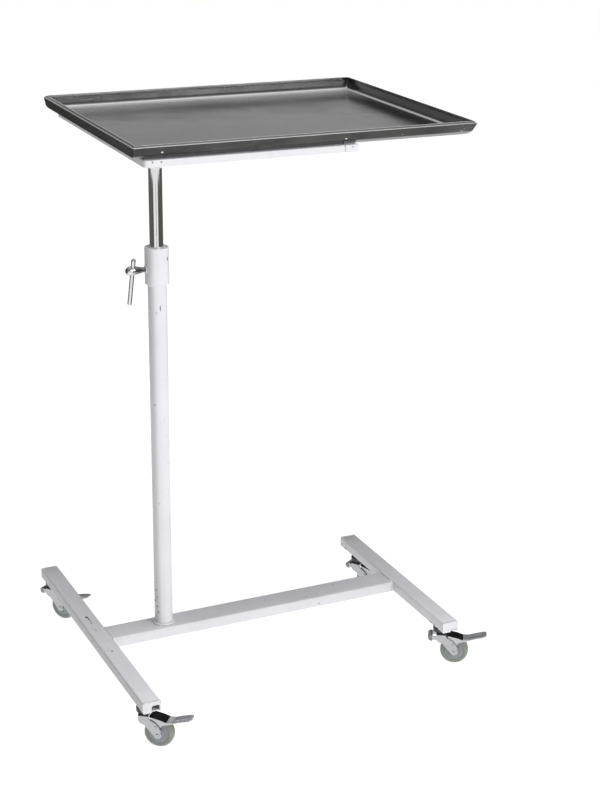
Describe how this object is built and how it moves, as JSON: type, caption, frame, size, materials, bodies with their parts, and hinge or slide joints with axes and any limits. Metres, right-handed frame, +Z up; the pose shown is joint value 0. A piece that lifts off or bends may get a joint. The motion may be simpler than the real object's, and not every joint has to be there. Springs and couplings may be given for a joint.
{
  "type": "wheeled instrument table",
  "caption": "Wheeled height-adjustable instrument table: stainless tray on a telescopic side mast over an H base with braked swivel castors.",
  "frame": {"origin": "middle of the overall footprint, on the floor", "axes": "+Z up, +X from the mast side towards the free side of the tray, +Y towards the rear"},
  "size_m": [0.7442, 0.8006, 0.9599],
  "materials": {
    "painted_tube": "off-white powder coat, semi-gloss",
    "chrome": "polished",
    "zinc_steel": "zinc plated pressed steel",
    "stainless_tray": "satin stainless sheet",
    "tyre": "grey non-marking rubber",
    "hub": "moulded grey",
    "nylon": "satin",
    "black_plastic": "moulded black"
  },
  "bodies": {
    "base": {"left_foot_tube": "painted_tube", "right_foot_tube": "painted_tube", "cross_beam": "painted_tube", "left_front_end_plate": "painted_tube", "left_rear_end_plate": "painted_tube", "right_front_end_plate": "painted_tube", "right_rear_end_plate": "painted_tube", "left_side_plug": "black_plastic", "right_side_plug": "black_plastic", "post_weld_bead": "painted_tube", "outer_post_tube": "painted_tube", "clamp_collar": "painted_tube", "guide_bush": "nylon", "castor_front_left_stem": "zinc_steel", "castor_front_left_nut": "zinc_steel", "castor_front_right_stem": "zinc_steel", "castor_front_right_nut": "zinc_steel", "castor_rear_left_stem": "zinc_steel", "castor_rear_left_nut": "zinc_steel", "castor_rear_right_stem": "zinc_steel", "castor_rear_right_nut": "zinc_steel"},
    "clamp": {"clamp_screw": "chrome", "clamp_tommy_bar": "chrome", "clamp_pressure_pad": "black_plastic"},
    "mast_glide": {"glide_plug": "nylon"},
    "table_top": {"inner_mast_tube": "chrome", "frame_front_rail": "painted_tube", "frame_left_rail": "painted_tube", "frame_right_rail": "painted_tube", "frame_back_rail": "painted_tube", "frame_end_plate": "painted_tube", "tray": "stainless_tray"},
    "front_left_fork": {"castor_front_left_fork": "zinc_steel", "castor_front_left_axle": "zinc_steel", "castor_front_left_rivet_a": "zinc_steel", "castor_front_left_rivet_b": "zinc_steel"},
    "front_left_wheel": {"castor_front_left_tyre": "tyre", "castor_front_left_hub": "hub"},
    "front_left_brake": {"castor_front_left_brake_pedal": "zinc_steel"},
    "front_right_fork": {"castor_front_right_fork": "zinc_steel", "castor_front_right_axle": "zinc_steel", "castor_front_right_rivet_a": "zinc_steel", "castor_front_right_rivet_b": "zinc_steel"},
    "front_right_wheel": {"castor_front_right_tyre": "tyre", "castor_front_right_hub": "hub"},
    "front_right_brake": {"castor_front_right_brake_pedal": "zinc_steel"},
    "rear_left_fork": {"castor_rear_left_fork": "zinc_steel", "castor_rear_left_axle": "zinc_steel", "castor_rear_left_rivet_a": "zinc_steel", "castor_rear_left_rivet_b": "zinc_steel"},
    "rear_left_wheel": {"castor_rear_left_tyre": "tyre", "castor_rear_left_hub": "hub"},
    "rear_left_brake": {"castor_rear_left_brake_pedal": "zinc_steel"},
    "rear_right_fork": {"castor_rear_right_fork": "zinc_steel", "castor_rear_right_axle": "zinc_steel", "castor_rear_right_rivet_a": "zinc_steel", "castor_rear_right_rivet_b": "zinc_steel"},
    "rear_right_wheel": {"castor_rear_right_tyre": "tyre", "castor_rear_right_hub": "hub"},
    "rear_right_brake": {"castor_rear_right_brake_pedal": "zinc_steel"}
  },
  "joints": [
    {"name": "mast_height", "type": "slide", "parent": "base", "child": "mast_glide", "axis": [0, 0, 1], "range_m": [-0.13, 0.2]},
    {"name": "tray_swivel", "type": "hinge", "parent": "mast_glide", "child": "table_top", "pos_m": [-0.23085, -0.10986, 0.46], "axis": [0, 0, 1], "continuous": true},
    {"name": "clamp_turn", "type": "hinge", "parent": "base", "child": "clamp", "pos_m": [-0.27385, -0.10986, 0.7496], "axis": [1, 0, 0], "range_deg": [0, 90]},
    {"name": "front_left_swivel", "type": "hinge", "parent": "base", "child": "front_left_fork", "pos_m": [-0.35185, -0.33986, 0.06], "axis": [0, 0, 1], "continuous": true},
    {"name": "front_left_roll", "type": "hinge", "parent": "front_left_fork", "child": "front_left_wheel", "pos_m": [-0.33215, -0.35525, 0.0254], "axis": [0.6157, 0.788, 0], "continuous": true},
    {"name": "front_left_brake_press", "type": "hinge", "parent": "front_left_fork", "child": "front_left_brake", "pos_m": [-0.33452, -0.3534, 0.04], "axis": [0.6157, 0.788, 0], "range_deg": [0, 6]},
    {"name": "front_right_swivel", "type": "hinge", "parent": "base", "child": "front_right_fork", "pos_m": [0.23965, -0.29086, 0.06], "axis": [0, 0, 1], "continuous": true},
    {"name": "front_right_roll", "type": "hinge", "parent": "front_right_fork", "child": "front_right_wheel", "pos_m": [0.26108, -0.30373, 0.0254], "axis": [0.515, 0.8572, 0], "continuous": true},
    {"name": "front_right_brake_press", "type": "hinge", "parent": "front_right_fork", "child": "front_right_brake", "pos_m": [0.25851, -0.30219, 0.04], "axis": [0.515, 0.8572, 0], "range_deg": [0, 6]},
    {"name": "rear_left_swivel", "type": "hinge", "parent": "base", "child": "rear_left_fork", "pos_m": [-0.34885, 0.17564, 0.06], "axis": [0, 0, 1], "continuous": true},
    {"name": "rear_left_roll", "type": "hinge", "parent": "rear_left_fork", "child": "rear_left_wheel", "pos_m": [-0.33451, 0.15516, 0.0254], "axis": [0.8192, 0.5736, 0], "continuous": true},
    {"name": "rear_left_brake_press", "type": "hinge", "parent": "rear_left_fork", "child": "rear_left_brake", "pos_m": [-0.33623, 0.15762, 0.04], "axis": [0.8192, 0.5736, 0], "range_deg": [0, 6]},
    {"name": "rear_right_swivel", "type": "hinge", "parent": "base", "child": "rear_right_fork", "pos_m": [0.23815, 0.03814, 0.06], "axis": [0, 0, 1], "continuous": true},
    {"name": "rear_right_roll", "type": "hinge", "parent": "rear_right_fork", "child": "rear_right_wheel", "pos_m": [0.2514, 0.01694, 0.0254], "axis": [0.848, 0.5299, 0], "continuous": true},
    {"name": "rear_right_brake_press", "type": "hinge", "parent": "rear_right_fork", "child": "rear_right_brake", "pos_m": [0.24981, 0.01948, 0.04], "axis": [0.848, 0.5299, 0], "range_deg": [0, 6]}
  ]
}
